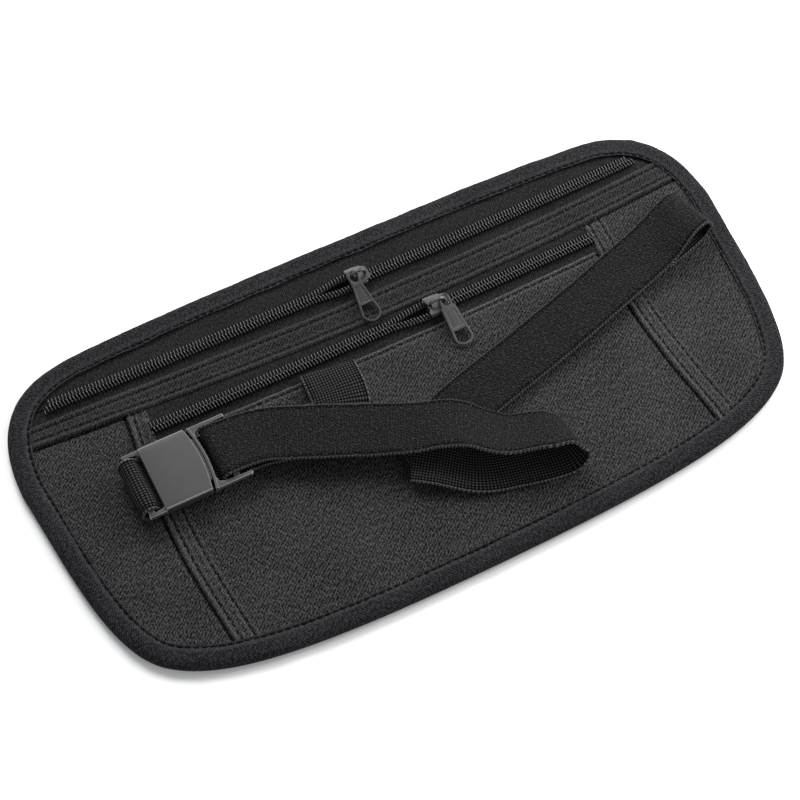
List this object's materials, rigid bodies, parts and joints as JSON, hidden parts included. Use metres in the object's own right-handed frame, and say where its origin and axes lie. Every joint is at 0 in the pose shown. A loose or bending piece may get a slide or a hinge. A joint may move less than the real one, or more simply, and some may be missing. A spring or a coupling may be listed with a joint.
{
  "type": "money belt",
  "caption": "Flat black travel pouch with bound edge, two coil zips with pull tabs, folded elastic waist strap and quick-release clip lying across its front.",
  "frame": {"origin": "middle of the pouch in plan, on its back (resting) face", "axes": "+X along the zips to the right, +Y to the pouch's top edge, +Z out of the front face"},
  "size_m": [0.2696, 0.135, 0.017],
  "materials": {
    "fabric": "charcoal black twill, matte",
    "lining": "thin plain-weave lining, matte",
    "binding": "folded woven binding tape, matte",
    "zip_tape": "smooth woven zip tape",
    "zip_coil": "glossy black nylon coil",
    "upper_slider": "gloss black painted zinc",
    "lower_slider": "gunmetal painted zinc, glossy",
    "elastic": "knitted elastic webbing with beaded selvage",
    "clip": "satin dark grey moulded plastic"
  },
  "bodies": {
    "pouch": {"back_panel": "fabric", "middle_strip": "fabric", "front_panel_left": "fabric", "front_panel_centre": "fabric", "front_panel_right": "fabric", "zip_end_tab_left": "fabric", "zip_end_tab_right": "fabric", "pocket_lining": "lining", "edge_binding": "binding", "upper_zip_tape_top": "zip_tape", "upper_zip_tape_bottom": "zip_tape", "upper_zip_coil_top": "zip_coil", "upper_zip_coil_bottom": "zip_coil", "lower_zip_tape_top": "zip_tape", "lower_zip_tape_bottom": "zip_tape", "lower_zip_coil_top": "zip_coil", "lower_zip_coil_bottom": "zip_coil", "strap_stub_left": "elastic", "strap_stub_right": "elastic"},
    "upper_slider": {"upper_zip_slider": "upper_slider"},
    "upper_pull": {"upper_zip_pull": "upper_slider"},
    "lower_slider": {"lower_zip_slider": "lower_slider"},
    "lower_pull": {"lower_zip_pull": "lower_slider"},
    "strap": {"strap_long": "elastic", "clip_frame": "clip"},
    "clip_half": {"strap_short": "elastic", "clip_housing": "clip"}
  },
  "joints": [
    {"name": "upper_zip_slide", "type": "slide", "parent": "pouch", "child": "upper_slider", "axis": [1, 0, 0], "range_m": [-0.106, 0.104]},
    {"name": "upper_pull_lift", "type": "hinge", "parent": "upper_slider", "child": "upper_pull", "pos_m": [-0.0004, 0.0493, 0.00815], "axis": [-1, 0, 0], "range_deg": [0, 40]},
    {"name": "lower_zip_slide", "type": "slide", "parent": "pouch", "child": "lower_slider", "axis": [1, 0, 0], "range_m": [-0.1, 0.058], "deforming": ["strap_long", "strap_short"]},
    {"name": "lower_pull_lift", "type": "hinge", "parent": "lower_slider", "child": "lower_pull", "pos_m": [0.024, 0.0268, 0.00815], "axis": [-1, 0, 0], "range_deg": [0, 40]},
    {"name": "strap_swing", "type": "hinge", "parent": "pouch", "child": "strap", "pos_m": [0.1218, 0.0236, 0.0046], "axis": [-0.2079, 0.9781, 0], "range_deg": [0, 110]},
    {"name": "clip_release", "type": "slide", "parent": "strap", "child": "clip_half", "axis": [-1, 0, 0], "range_m": [0, 0.02]}
  ]
}
